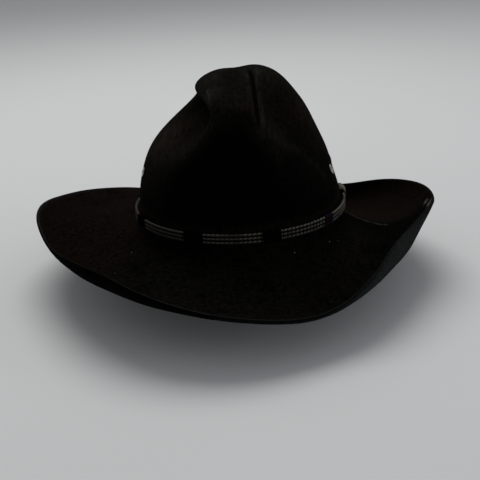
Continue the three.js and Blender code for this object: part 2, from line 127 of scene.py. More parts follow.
def around(stations, angle):
    """Smooth periodic value round the hat from equally spaced stations (Catmull-Rom)."""
    values = np.asarray(stations, float)
    place = (angle / TAU) % 1.0 * len(values)
    index = np.floor(place).astype(int)
    t = place - index
    a, b, c, d = (values[(index + step) % len(values)] for step in (-1, 0, 1, 2))
    cubic = (3 * b - a - 3 * c + d) * t**3
    return 0.5 * (2 * b + (c - a) * t + (2 * a - 5 * b + 4 * c - d) * t * t + cubic)


def beside(angle, distance, height):
    """Points given by their distance outside the break line oval and their height."""
    across = HALF_LENGTH * np.sin(angle)
    along = -HALF_WIDTH * np.cos(angle)
    length = np.hypot(across, along)
    x = HALF_WIDTH * np.sin(angle) + across / length * distance
    y = -HALF_LENGTH * np.cos(angle) + along / length * distance
    return np.stack(np.broadcast_arrays(x, y, height), axis=-1)


def dent_push(dent, along, height):
    middle = dent.height + dent.tilt * (along - dent.middle)
    ramp = smoothstep(height, DENTS.floor, DENTS.floor + DENTS.ramp)
    tall = bell(height, middle, dent.below, dent.above)
    return dent.depth * ramp * tall * bell(along, dent.middle, dent.front, DENTS.back)


def crown_point(angle, rise):
    """Outer face of the crown; rise runs from 0 at the break line to a quarter turn at the tip."""
    angle, rise = np.broadcast_arrays(np.asarray(angle, float), np.asarray(rise, float))
    power = 2 / CROWN.squareness
    level = np.sin(rise) ** power
    reach = np.maximum(np.cos(rise), 0) ** power * (1 + CROWN.flare * level)
    x = HALF_WIDTH * reach * np.sin(angle) + CROWN.left * level**2
    sloped = -HALF_LENGTH * reach * np.cos(angle)
    y = sloped + CROWN.back * level**2
    z = CROWN.height * level * (1 + CROWN.slope * (sloped / HALF_LENGTH) * level**2)
    turn = math.radians(CROWN.turn)
    along = y * math.cos(turn) - x * math.sin(turn)
    across = x * math.cos(turn) + y * math.sin(turn)
    front = bell(along, PINCH.front, PINCH.reach, PINCH.reach)
    across = across * (1 - PINCH.amount * np.minimum(z / CROWN.height, 1) ** 2 * front)
    left_share = 0.5 * (1 + np.tanh(across / DENTS.side))
    hold = np.tanh(np.abs(across) / DENTS.core)
    from_left = dent_push(LEFT_DENT, along, z) * left_share
    from_right = dent_push(RIGHT_DENT, along, z) * (1 - left_share)
    across = across + hold * (from_right - from_left)
    crease = np.exp(-((across / CREASE.half_width) ** 2)) * level**6
    z = z - CREASE.depth * crease * bell(along, CREASE.middle, CREASE.front, CREASE.back)
    out_x = across * math.cos(turn) - along * math.sin(turn)
    out_y = across * math.sin(turn) + along * math.cos(turn)
    return np.stack([out_x, out_y, z], axis=-1)


def unit(vectors):
    return vectors / np.maximum(np.linalg.norm(vectors, axis=-1, keepdims=True), 1e-12)


def crown_normal(angle, rise):
    step = 0.004
    top = np.minimum(rise, TIP - 2 * step)
    by_angle = crown_point(angle + step, top) - crown_point(angle - step, top)
    by_rise = crown_point(angle, top + step) - crown_point(angle, top - step)
    return unit(np.cross(by_angle, by_rise))


def crown_inside(angle, rise, inset):
    """Points inside the crown, measured in from its outer face."""
    angle, rise = np.broadcast_arrays(np.asarray(angle, float), np.asarray(rise, float))
    return crown_point(angle, rise) - crown_normal(angle, rise) * np.asarray(inset)[..., None]


def rise_at(height):
    level = np.minimum(np.asarray(height, float) / CROWN.height, 1)
    return np.arcsin(level ** (CROWN.squareness / 2))


def break_length(angle):
    return BREAK_RADIUS * np.tan(math.pi / 4 + np.radians(around(BRIM_START, angle)) / 2)


def bend_point(angle, fraction, inset):
    """The bend from crown to brim, at a distance below the upper face of the felt."""
    heading = math.pi + (TIP + np.radians(around(BRIM_START, angle))) * fraction
    radius = BREAK_RADIUS + inset
    out = BREAK_RADIUS + radius * np.cos(heading)
    return beside(angle, out, break_length(angle) + radius * np.sin(heading))


def brim_point(angle, fraction, inset):
    """The brim from the end of the bend (0) to its edge (1)."""
    width = around(BRIM_WIDTH, angle)
    start = np.radians(around(BRIM_START, angle))
    end = np.radians(around(BRIM_END, angle))
    curl = around(BRIM_CURL, angle)
    first = break_length(angle) / width
    whole = first + (1 - first) * fraction
    steps = 24
    stride = whole / steps
    out = np.zeros_like(angle)
    height = np.zeros_like(angle)
    for i in range(steps):
        slope = start + (end - start) * ((i + 0.5) * stride) ** curl
        out += np.cos(slope) * stride * width
        height += np.sin(slope) * stride * width
    slope = start + (end - start) * whole**curl
    return beside(angle, out + inset * np.sin(slope), height - inset * np.cos(slope))


def band_height(angle):
    return BAND.middle + BAND.tilt * np.cos(angle)


# ---- Mesh building ----


def grid_faces(rows, columns, wrap_rows=False):
    """Quads between the points of a grid that closes round its columns, which run fastest."""
    row = np.arange(rows if wrap_rows else rows - 1)[:, None]
    column = np.arange(columns)[None, :]
    up = (row + 1) % rows
    beyond = (column + 1) % columns
    corners = [row * columns + column, row * columns + beyond, up * columns + beyond, up * columns + column]
    return np.stack(np.broadcast_arrays(*corners), axis=-1).reshape(-1, 4)


def add_object(name, data):
    thing = bpy.data.objects.new(name, data)
    bpy.context.scene.collection.objects.link(thing)
    return thing


def add_mesh(name, points, faces, material, attributes=None, smooth=True):
    """A new mesh object from points in millimetres. Attributes are one value a point."""
    mesh = bpy.data.meshes.new(name)
    mesh.from_pydata((np.asarray(points) * MM).tolist(), [], [list(map(int, f)) for f in faces])
    for key, values in (attributes or {}).items():
        layer = mesh.attributes.new(key, "FLOAT", "POINT")
        layer.data.foreach_set("value", np.asarray(values, np.float32).ravel())
    mesh.materials.append(material)
    mesh.polygons.foreach_set("use_smooth", [smooth] * len(mesh.polygons))
    mesh.validate()
    mesh.update()
    return add_object(name, mesh)


def spread(shape, layers):
    """Attributes spread over the whole of a grid of points."""
    return {key: np.broadcast_to(values, shape) for key, values in layers.items()}


def place(piece, body, slot, *nodes):
    """Rides a piece on its body, in place of its CAD nodes."""
    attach(piece, body)
    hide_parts(*nodes)


def upright(forward):
    """Outward and upward unit vectors across a path that runs round the hat."""
    upward = unit(UP - forward * forward[..., 2:3])
    return np.cross(forward, upward), upward


def across_ring(path):
    """Outward and upward unit vectors along closed paths (tube, point, 3)."""
    return upright(unit(np.roll(path, -1, axis=1) - np.roll(path, 1, axis=1)))


def spokes(outward, upward, corners):
    """Unit vectors all round a tube at each point of its path."""
    turn = (TAU * np.arange(corners) / corners)[:, None]
    return np.cos(turn) * outward[..., None, :] + np.sin(turn) * upward[..., None, :]


def tubes(paths, sections, closed=False):
    """Points and faces of tubes: paths is (tube, point, 3), and sections is (tube, point, corner, 3),
    the way from the path out to each corner."""
    count, length, corners = sections.shape[:3]
    points = (paths[:, :, None, :] + sections).reshape(-1, 3)
    one = grid_faces(length, corners, wrap_rows=closed)
    faces = np.concatenate([one + i * length * corners for i in range(count)]).tolist()
    if not closed:
        for i in range(count):
            base = i * length * corners
            faces.append([base + j for j in range(corners)])
            faces.append([base + (length - 1) * corners + j for j in reversed(range(corners))])
    return points, faces


# ---- Materials ----

RIB_PITCH = 0.7


class Shading:
    """A procedural material: a short way to add nodes and link their sockets."""

    def __init__(self, name, **settings):
        self.material = bpy.data.materials.new(name)
        self.material.use_nodes = True
        self.nodes = self.material.node_tree.nodes
        self.links = self.material.node_tree.links
        self.shader = self.nodes["Principled BSDF"]
        for socket, value in settings.items():
            self.shader.inputs[socket.replace("_", " ")].default_value = value
        self.where = self.nodes.new("ShaderNodeTexCoord").outputs["Object"]

    def put(self, socket, value):
        """Sets a socket to a number or colour, or links it to another socket."""
        if isinstance(value, bpy.types.NodeSocket):
            self.links.new(value, socket)
        else:
            socket.default_value = value

    def drive(self, name, value):
        self.put(self.shader.inputs[name], value)

    def add(self, kind, output, inputs, **settings):
        """Adds a node, with inputs by name or number, and returns one of its outputs."""
        node = self.nodes.new("ShaderNode" + kind)
        for name, value in settings.items():
            setattr(node, name, value)
        for name, value in inputs.items():
            self.put(node.inputs[name], value)
        return node.outputs[output]

    def attribute(self, name):
        return self.add("Attribute", "Fac", {}, attribute_name=name)

    def stretch(self, scale):
        """Coordinates scaled by a different amount along each axis."""
        return self.add("Mapping", "Vector", {"Vector": self.where, "Scale": scale})

    def vector(self, x, y, z):
        return self.add("CombineXYZ", "Vector", {"X": x, "Y": y, "Z": z})

    def noise(self, scale, detail, rough=0.55, vector=None, distort=0.0):
        inputs = {"Vector": vector or self.where, "Scale": scale, "Detail": detail}
        return self.add("TexNoise", "Fac", {**inputs, "Roughness": rough, "Distortion": distort})

    def voronoi(self, scale, feature="F1"):
        return self.add("TexVoronoi", "Distance", {"Vector": self.where, "Scale": scale}, feature=feature)

    def math(self, operation, a, b=0.0, clamp=False):
        return self.add("Math", 0, {0: a, 1: b}, operation=operation, use_clamp=clamp)

    def ease(self, value, low, high, to_low=0.0, to_high=1.0):
        """Maps a value smoothly from one range to another, held at its ends."""
        inputs = {"Value": value, "From Min": low, "From Max": high, "To Min": to_low, "To Max": to_high}
        return self.add("MapRange", "Result", inputs, interpolation_type="SMOOTHSTEP")

    def mix(self, share, first, second):
        """Mixes two colours. The mix node's colours are its inputs 6 and 7 and its output 2."""
        return self.add("Mix", 2, {0: share, 6: first, 7: second}, data_type="RGBA")

    def bump(self, height, distance, strength, below=None):
        """Adds relief of a distance in millimetres on top of another bump."""
        inputs = {"Height": height, "Distance": distance * MM, "Strength": strength}
        if below is not None:
            inputs["Normal"] = below
        return self.add("Bump", "Normal", inputs)


def rgb(red, green, blue):
    return (red, green, blue, 1.0)


def scaled(colour, factor):
    return rgb(*(factor * channel for channel in colour[:3]))


def felt_material():
    """Black fur felt: a short matted nap, greyed and browned where it is faded, worn and dusty, with shade
    painted on its front faces and highlights painted on its lit ridges, bumps and brim.
    """
    s = Shading(
        "felt",
        Roughness=1.0,
        Specular_IOR_Level=0.008,
        Sheen_Weight=0.003,
        Sheen_Roughness=0.45,
        Sheen_Tint=rgb(0.80, 0.72, 0.62),
    )
    clouds = s.noise(26, 4, 0.6)
    tufts = s.noise(300, 3, 0.6)
    fibres = s.noise(1500, 2, 0.7, distort=1.5)
    streaks = s.noise(1, 3, 0.65, s.stretch((420, 60, 38)))
    grain = s.math("MULTIPLY", tufts, s.ease(fibres, 0.3, 0.7, 0.5, 1.5))
    ink = s.mix(s.ease(grain, 0.35, 0.65), rgb(0.00012, 0.00012, 0.00012), rgb(0.00070, 0.00070, 0.00060))
    grey = s.mix(s.ease(grain, 0.35, 0.65), rgb(0.0007, 0.0007, 0.0005), rgb(0.0054, 0.0049, 0.0037))
    brown = s.mix(s.ease(grain, 0.35, 0.65), rgb(0.0012, 0.0008, 0.0005), rgb(0.0078, 0.0048, 0.0038))
    uneven = s.ease(s.math("ADD", clouds, s.math("MULTIPLY", grain, 0.25)), 0.46, 0.74, 0.25, 1.55)
    # Ink where the greying mask is low: the felt's own black, and painted shade on the front of the crown,
    # the brim before the fold, the wearer's left dent and the groove.
    colour = s.mix(s.math("MULTIPLY", s.attribute("fade_and_shade"), uneven, clamp=True), ink, grey)
    # Brown on the brim's sides and the crown's shoulders: partly faded felt, partly painted light where those
    # faces are lit.
    colour = s.mix(s.math("MULTIPLY", s.attribute("brown"), uneven, clamp=True), colour, brown)
    layers = (
        # Brown behind the fold on the wearer's left: partly faded felt, partly painted light on the lit back
        # wall of the brim.
        ("sunned_and_lit", s.ease(grain, 0.35, 0.65, 0.3, 1.0), rgb(0.0070, 0.0048, 0.0036)),
        # Paler on ridges, the top and the lower edge of the wearer's left dent: wear, with a painted
        # highlight along that edge.
        ("worn", s.ease(streaks, 0.38, 0.62), rgb(0.0100, 0.0086, 0.0060)),
        # Tan on the crown's shoulders: partly the felt's own tan, partly painted light where those sides are
        # lit.
        ("tan", s.ease(streaks, 0.36, 0.60), rgb(0.0125, 0.0088, 0.0066)),
        ("russet", s.ease(streaks, 0.50, 0.60), rgb(0.0100, 0.0052, 0.0034)),
        # Whitish nap with a painted sheen highlight on the crown's top bumps and ridges.
        ("bloom_and_sheen", s.ease(s.noise(420, 3, 0.7), 0.38, 0.62), rgb(0.0200, 0.0205, 0.0190)),
        # Pale rows along the brim's edge: rubbing, with painted light on the lit under face at the wearer's
        # left.
        ("rim", s.ease(s.noise(520, 4, 0.7), 0.36, 0.60, 0.45, 1.0), rgb(0.0180, 0.0188, 0.0185)),
        # A painted highlight along the crest of the brim's fold and the front edge of the wearer's right
        # dent.
        ("ridge_highlight", s.ease(s.noise(320, 3, 0.6), 0.30, 0.55), rgb(0.0330, 0.0320, 0.0280)),
        ("scuff", s.ease(s.noise(700, 2, 0.6), 0.40, 0.55), rgb(0.1500, 0.1350, 0.1150)),
    )
    for name, pattern, tone in layers:
        colour = s.mix(s.math("MULTIPLY", s.attribute(name), pattern, clamp=True), colour, tone)
    chance = s.ease(s.noise(31, 1), 0.54, 0.58)
    fleck = s.math("MULTIPLY", s.ease(s.voronoi(55), 0.024, 0.040, 1.0, 0.0), chance)
    colour = s.mix(fleck, colour, rgb(0.15, 0.14, 0.12))
    s.drive("Base Color", colour)
    nap = s.bump(s.noise(55, 3, 0.5), 0.9, 0.35)
    nap = s.bump(tufts, 0.35, 0.55, nap)
    s.drive("Normal", s.bump(fibres, 0.16, 0.9, nap))
    return s.material


def cord_material(light, dark):
    """Twisted hair cord: streaks along each ply, with pale and dark plies laid together, and painted shade on
    the undersides and the lower cords.
    """
    s = Shading("horsehair", Roughness=0.62, Specular_IOR_Level=0.12, Sheen_Weight=0.03, Sheen_Roughness=0.5)
    along = s.math("MULTIPLY", s.attribute("along"), 0.35)
    ply = s.vector(s.attribute("ply_x"), s.attribute("ply_y"), along)
    hairs = s.noise(5.5, 3, 0.6, ply)
    patches = s.noise(90, 2)
    pale = s.mix(s.ease(hairs, 0.3, 0.7), scaled(light, 0.55), light)
    deep = s.mix(s.ease(hairs, 0.35, 0.7), dark, scaled(dark, 2.4))
    stained = s.mix(s.ease(patches, 0.56, 0.70), pale, rgb(0.050, 0.030, 0.020))
    # Painted shade on the lower cords, and darker towards the wearer's right.
    darkened_cord = s.mix(s.math("MULTIPLY", s.attribute("cord_darkening"), 0.8), stained, scaled(light, 0.25))
    s.drive("Base Color", s.mix(s.attribute("dark"), darkened_cord, deep))
    s.drive("Normal", s.bump(hairs, 0.12, 0.8))
    return s.material


def thread_material(name, colour, glow, rough):
    """Fine wound thread: each turn is relief in the mesh, and its twist shows as fine slanting marks."""
    s = Shading(name, Roughness=rough, Specular_IOR_Level=0.02, Sheen_Weight=0.002, Sheen_Roughness=0.4)
    twist = s.noise(1, 2, 0.6, s.vector(s.attribute("turn"), s.attribute("along"), 0.0))
    tone = s.mix(s.ease(twist, 0.35, 0.65), colour, glow)
    tone = s.mix(s.attribute("lead"), tone, rgb(0.0110, 0.0022, 0.0030))
    dust = s.ease(s.noise(320, 3, 0.7), 0.55, 0.75, 0.0, 0.5)
    s.drive("Base Color", s.mix(dust, tone, scaled(glow, 1.6)))
    s.drive("Normal", s.bump(twist, 0.10, 0.8))
    return s.material


def nickel_material():
    """Dulled nickel plate with fine scratches and uneven tarnish."""
    s = Shading("nickel", Metallic=1.0, Specular_IOR_Level=0.5)
    tarnish = s.noise(700, 4, 0.7)
    s.drive("Base Color", s.mix(s.ease(tarnish, 0.42, 0.70), rgb(0.44, 0.41, 0.36), rgb(0.20, 0.17, 0.13)))
    s.drive("Roughness", s.ease(tarnish, 0.35, 0.70, 0.24, 0.52))
    scratches = s.noise(1, 2, 0.6, s.stretch((900, 4000, 600)))
    s.drive("Normal", s.bump(scratches, 0.02, 0.5))
    return s.material


def leather_material():
    """Smooth sweatband leather, darkened along its lower half, with pores and fine creases."""
    s = Shading("leather", Specular_IOR_Level=0.35)
    pores = s.voronoi(900)
    grain = s.voronoi(420, feature="DISTANCE_TO_EDGE")
    creases = s.noise(1, 4, 0.65, s.stretch((160, 160, 900)))
    tone = s.mix(s.ease(s.noise(38, 4, 0.6), 0.35, 0.68), rgb(0.115, 0.058, 0.030), rgb(0.060, 0.030, 0.016))
    tone = s.mix(s.ease(s.attribute("low"), 0.25, 0.95, 0.0, 0.65), tone, rgb(0.028, 0.016, 0.010))
    tone = s.mix(s.ease(creases, 0.58, 0.75, 0.0, 0.5), tone, rgb(0.17, 0.095, 0.055))
    s.drive("Base Color", tone)
    s.drive("Roughness", s.ease(s.noise(120, 3, 0.6), 0.3, 0.7, 0.38, 0.62))
    relief = s.bump(grain, 0.05, 0.6)
    relief = s.bump(pores, 0.04, 0.5, relief)
    s.drive("Normal", s.bump(creases, 0.14, 0.6, relief))
    return s.material


def ribbon_material(colour, edge):
    """Grosgrain: fine ribs across the ribbon."""
    s = Shading("black_ribbon", Roughness=0.55, Specular_IOR_Level=0.3, Sheen_Weight=0.2, Sheen_Roughness=0.3)
    ribs = s.math("SINE", s.math("MULTIPLY", s.attribute("along"), TAU / RIB_PITCH))
    cloth = s.mix(s.ease(s.noise(900, 2, 0.6), 0.3, 0.7), colour, edge)
    s.drive("Base Color", s.mix(s.ease(ribs, -0.6, 0.9), colour, cloth))
    s.drive("Normal", s.bump(ribs, 0.09, 0.8))
    return s.material


def satin_material():
    """Satin lining: long floats with a soft sheen, aged unevenly towards the sweatband."""
    s = Shading("satin", Specular_IOR_Level=0.45, Sheen_Weight=0.25, Sheen_Roughness=0.3, Anisotropic=0.5)
    weave = s.noise(1, 2, 0.6, s.stretch((2600, 2600, 260)))
    stain = s.noise(30, 4, 0.6)
    tone = s.mix(s.ease(stain, 0.35, 0.7), rgb(0.40, 0.365, 0.30), rgb(0.30, 0.255, 0.19))
    tone = s.mix(s.ease(s.attribute("low"), 0.3, 1.0, 0.0, 0.6), tone, rgb(0.17, 0.125, 0.08))
    s.drive("Base Color", s.mix(s.ease(weave, 0.3, 0.7, 0.0, 0.25), tone, rgb(0.52, 0.49, 0.43)))
    s.drive("Roughness", s.ease(weave, 0.3, 0.7, 0.30, 0.46))
    s.drive("Normal", s.bump(weave, 0.05, 0.5, s.bump(s.noise(160, 3, 0.6), 0.5, 0.5)))
    return s.material


def film_material():
    """Clear plastic film, slightly yellowed and rippled."""
    s = Shading("clear_film", Roughness=0.12, Alpha=0.28, Specular_IOR_Level=0.6)
    haze = s.noise(60, 3, 0.6)
    s.drive("Base Color", s.mix(s.ease(haze, 0.4, 0.7), rgb(0.80, 0.79, 0.72), rgb(0.70, 0.66, 0.52)))
    s.drive("Normal", s.bump(haze, 0.6, 0.6))
    return s.material


FELT_MATERIAL = felt_material()
HORSEHAIR = cord_material(rgb(0.150, 0.138, 0.108), rgb(0.0050, 0.0042, 0.0042))
BLACK_THREAD = thread_material("black_thread", rgb(0.0002, 0.0002, 0.0002), rgb(0.0006, 0.0005, 0.0005), 0.9)
PLUM_THREAD = thread_material("plum_thread", rgb(0.0022, 0.0014, 0.0046), rgb(0.0080, 0.0052, 0.0145), 0.7)
CREAM_THREAD = thread_material("cream_thread", rgb(0.115, 0.092, 0.070), rgb(0.205, 0.178, 0.145), 0.75)
NICKEL = nickel_material()
LEATHER = leather_material()
BLACK_RIBBON = ribbon_material(rgb(0.010, 0.009, 0.009), rgb(0.030, 0.027, 0.026))
SATIN = satin_material()
FILM = film_material()
SEWING = thread_material("sewing_thread", rgb(0.10, 0.085, 0.06), rgb(0.20, 0.17, 0.125), 0.7)

# ---- Felt body ----

# Rows of points along the brim, round the bend and up the crown.
OUTER_ROWS = dict(brim=56, bend=8, crown=120)
INNER_ROWS = dict(brim=28, bend=4, crown=44)

# Rows that round the cut edge of the brim: share of the way to the under face, and bulge outward.
EDGE_ROUND = ((0.85, 0.3), (0.5, 0.5), (0.15, 0.3))

# Fine crease pressed along the top: its ends in plan, and the felt pushed up on both sides of it.
GROOVE = Sizes(start=(27.0, -74.0), end=(13.0, 4.0), depth=1.7, half_width=2.0)
GROOVE_LIP = Sizes(height=0.7, away=5.0, half_width=2.2)

# Painted highlights: along the crest of the fold of the brim on the wearer's left, and down the front edge of
# the wearer's right dent.
FOLD_LINE = (
    (95.5, 35.7, -5.8), (105.5, 25.7, -8.3), (114.8, 19.3, -10.1), (123.7, 13.1, -10.9), (132.9, 9.7, -10.8),
)
DENT_LINE = ((-19.6, -31.6, 125.5), (-18.0, -37.7, 123.4), (-16.2, -45.2, 120.0), (-14.7, -51.8, 116.3))

# The lower edge of the wearer's left dent, pale from the crease round to the side: partly rubbing, partly a
# painted highlight where it catches the light.
RUBBED_AND_LIT_EDGE = (
    (20.9, -27.5, 127.8), (23.0, -38.2, 120.0), (26.1, -49.0, 111.3), (29.8, -58.8, 103.7),
    (35.5, -62.3, 95.3), (44.6, -56.7, 85.4), (55.0, -40.5, 75.1), (66.3, -29.6, 63.2), (76.4, -23.9, 49.6),
)

# Soft patches, each by its strength, middle and reach: of wear, and of painted light and shade where noted.
# Brown on the crown's shoulders: partly faded felt, partly painted light where those sides are lit.
SHOULDERS = ((1.0, (-57, -12, 86), 26), (0.7, (62, 18, 92), 26))
# Painted shade in the wearer's left dent.
PAINTED_SHADE = ((0.5, (46, -28, 98), 20),)
RUSSET = ((0.9, (12, -41, 126), 9), (0.8, (14, -58, 118), 7))
# Whitish nap with a painted sheen highlight on the crown's top bumps.
BLOOM_AND_SHEEN = ((0.8, (-16, -37, 124), 7), (0.3, (-20, -13, 131), 10), (0.4, (18, -4, 135), 12))
SCUFFS = ((1.5, (169.0, 17, 8.8), 2.4), (1.5, (170.9, 3.8, 11.8), 3.2))
# Tan on the crown's shoulders: partly the felt's own tan, partly painted light where those sides are lit.
TAN = ((0.9, (-60, -14, 80), 20), (0.5, (64, 18, 96), 18))

# Rubbing of the brim's edge, row by row in from the cut: on the upper face and on the under face, where the
# rows also paint light on the lit under face at the wearer's left.
RIM_UPPER = (0.75, 0.40, 0.15)
RIM_UNDER = (0.5, 0.9, 1.0, 1.0, 0.8, 0.6, 0.4, 0.2)


def groove(points):
    """Height of the fine crease and its lips over the surface."""
    start = np.array(GROOVE.start)
    span = np.array(GROOVE.end) - start
    t = ((points[..., :2] - start) @ span) / (span @ span)
    side = (points[..., 0] - start[0]) * span[1] - (points[..., 1] - start[1]) * span[0]
    distance = side / np.linalg.norm(span)
    reach = smoothstep(t, -0.1, 0.2) * (1 - smoothstep(t, 0.75, 1.1)) * smoothstep(points[..., 2], 98, 112)
    cut = bell(distance, 0, GROOVE.half_width, GROOVE.half_width)
    away, wide = GROOVE_LIP.away, GROOVE_LIP.half_width
    lips = bell(distance, -away, wide, wide) + bell(distance, away, wide, wide)
    return (GROOVE_LIP.height * lips - GROOVE.depth * cut) * reach


def ripple(angle, fraction):
    """Slow unevenness of a brim that has been handled, strongest at its edge."""
    waves = 0.7 * np.sin(5 * angle + 0.6) + 0.45 * np.sin(9 * angle + 2.1) + 0.25 * np.sin(17 * angle + 4.0)
    return waves * fraction**2


def felt_rows(inset, brim, bend, crown):
    """Rows of points from the brim's edge to just short of the tip."""
    rows = [brim_point(ANGLES, i / brim, inset) for i in range(brim, 0, -1)]
    rows += [bend_point(ANGLES, i / bend, inset) for i in range(bend, -1, -1)]
    rises = [TIP * (i / crown) ** 1.1 for i in range(1, crown)]
    rows += [crown_inside(ANGLES, np.full(ROUND, rise), np.full(ROUND, inset)) for rise in rises]
    return np.stack(rows)


def brim_fractions(rows, brim):
    """How far out along the brim each row lies: 1 at its edge, 0 on the bend and the crown."""
    fractions = np.zeros((rows, 1))
    fractions[:brim, 0] = np.linspace(1, 1 / brim, brim)
    return fractions


def grid_normals(grid):
    """Normals of a grid that closes round its columns."""
    by_column = np.roll(grid, -1, axis=1) - np.roll(grid, 1, axis=1)
    by_row = np.gradient(grid, axis=0)
    return unit(np.cross(by_column, by_row))


def ridges(grid, normals, reach):
    """How far the surface stands out from its mean some rows and columns away, in millimetres."""
    padded = np.concatenate([grid[:1].repeat(reach, 0), grid, grid[-1:].repeat(reach, 0)])
    mean = 0.25 * (padded[2 * reach :] + padded[: -2 * reach])
    mean += 0.25 * (np.roll(grid, reach, 1) + np.roll(grid, -reach, 1))
    return ((grid - mean) * normals).sum(-1)


def wear(grid, normals):
    """Where the felt is faded, browned, worn and bloomed, and where light and shade are painted on it, one
    value a point each.

    The front of the crown stays blackest, as painted shade, and so do the brim just before the fold, a patch
    in the wearer's left dent and the groove. The brim has faded most at its sides and behind the rise of the
    wearer's left side, and the crown on its top, ridges and outer shoulders; the brown at the sides and
    shoulders is partly painted light where those faces are lit. Painted highlights lie along the fold's
    crest, the dents' edges and the crown's top bumps."""
    x, y, z = grid[..., 0], grid[..., 1], grid[..., 2]
    on_crown = smoothstep(z, 22, 34)
    on_brim = 1 - on_crown

    angle = np.arctan2(x / HALF_WIDTH, -y / HALF_LENGTH)
    reach = np.hypot(x / HALF_WIDTH, y / HALF_LENGTH)
    inward = 1 - np.clip((reach - 1.1) / 0.4, 0, 1)
    behind_fold = angle - np.radians(94 + 15 * inward**2)
    left_back = smoothstep(behind_fold, math.radians(-2), math.radians(9))
    # Painted shade on the brim just before the fold, which faces away from the light.
    before_fold = smoothstep(behind_fold, math.radians(-30), math.radians(-8)) * (1 - left_back) * on_brim
    right_side = smoothstep(-angle, math.radians(35), math.radians(75))
    side = np.maximum(left_back, right_side)

    # Painted shade: the crown's front faces and its lower front are kept blackest.
    facing = smoothstep(-normals[..., 1], 0.35, 0.8)
    dark_below = 46 + 40 * smoothstep(x, 0, 55)
    low_front = (1 - smoothstep(z, dark_below - 14, dark_below + 14)) * smoothstep(-y, -30, 30)
    front_shade = np.maximum(facing * (1 - smoothstep(z, 114, 126)), 0.9 * low_front)

    sharp = np.clip(ridges(grid, normals, 6) / 0.9, 0, 1) * smoothstep(z, 40, 110) * (1 - front_shade)
    crown_top = smoothstep(z, 112, 132) * smoothstep(normals[..., 2], 0.1, 0.6)
    # Pale along the lower edge of the wearer's left dent: rubbing, with a painted highlight where the edge
    # catches the light.
    rub_and_light = stroke(grid, RUBBED_AND_LIT_EDGE, 5.5)
    # The groove is kept dark as painted shade, with no wear or sheen in it.
    pressed = np.clip(-groove(grid), 0, 1)
    # Greying of the faded felt, held back where shade is painted: the front, the brim before the fold, the
    # wearer's left dent and the groove.
    fade_and_shade = on_crown * (1 - 0.95 * front_shade) + on_brim * (0.95 + 0.05 * side)
    fade_and_shade *= (1 - patches(grid, PAINTED_SHADE)) * (1 - 0.9 * pressed) * (1 - 0.8 * before_fold)
    layers = {
        "fade_and_shade": fade_and_shade,
        # Partly faded felt, partly painted light where the shoulders and the brim's sides are lit.
        "brown": on_crown * patches(grid, SHOULDERS) + on_brim * 0.9 * side,
        "worn": (0.8 * sharp + 0.1 * crown_top + 0.4 * rub_and_light) * (1 - pressed),
        "russet": patches(grid, RUSSET) * (1 - pressed),
        # Whitish nap with painted sheen on the top bumps and ridges.
        "bloom_and_sheen": (patches(grid, BLOOM_AND_SHEEN) + 0.2 * sharp) * (1 - pressed),
        # Painted highlights along the fold's crest and the right dent's front edge.
        "ridge_highlight": 0.8 * stroke(grid, FOLD_LINE, 1.4) + 0.35 * stroke(grid, DENT_LINE, 1.3),
        "scuff": patches(grid, SCUFFS),
        "tan": patches(grid, TAN),
        # Behind the fold on the brim: partly faded felt, partly painted light on its lit back wall.
        "sunned_and_lit": left_back * on_brim * (1 - 0.5 * smoothstep(x, 112, 158)),
    }
    return {name: np.clip(values, 0, 1) for name, values in layers.items()}


def rim_wear_and_light(rows, lip_start, lip_end):
    """Rubbing along the brim's edge, in rows that run from the under face over the lip to the upper: on the
    under face at the wearer's left, where it stands up in sight and the rows also paint light on its lit
    face, and on the upper elsewhere."""
    left = 0.3 + 0.7 * smoothstep(ANGLES, math.radians(18), math.radians(45))
    left *= 1 - smoothstep(ANGLES, math.radians(150), math.radians(190))
    rim = np.zeros((rows, ROUND))
    for row, share in enumerate(RIM_UPPER):
        rim[lip_end + row] = share * (1 - 0.8 * left)
    for row, share in enumerate(RIM_UNDER):
        rim[lip_start - 1 - row] = share * left
    rim[lip_start:lip_end] = 0.4 * left
    rim[lip_end - 1] = 0.75 - 0.35 * left
    return rim


def crown_frame(degrees, height):
    """Place and outward direction on the outer face of the crown."""
    where = math.radians(degrees), rise_at(height)
    return crown_point(*where), crown_normal(*where)


EYELETS = {name: crown_frame(*vent) for name, vent in VENTS.items()}


def without_vents(points, faces):
    """Drops the faces that lie in the eyelets' holes."""
    middles = points[faces].mean(axis=1)
    keep = np.ones(len(middles), bool)
    for middle, normal in EYELETS.values():
        offset = middles - middle
        depth = offset @ normal
        aside = np.linalg.norm(offset - depth[:, None] * normal, axis=1)
        keep &= (aside > HOLE.radius) | (np.abs(depth) > HOLE.reach)
    return faces[keep]


def tip_fans(rows, points):
    """Closes the last row of a grid on the last point but one, and its first row on the last point."""
    last = (rows - 1) * ROUND
    fans = []
    for i in range(ROUND):
        beyond = (i + 1) % ROUND
        fans.append([last + i, last + beyond, points - 2])
        fans.append([beyond, i, points - 1])
    return fans


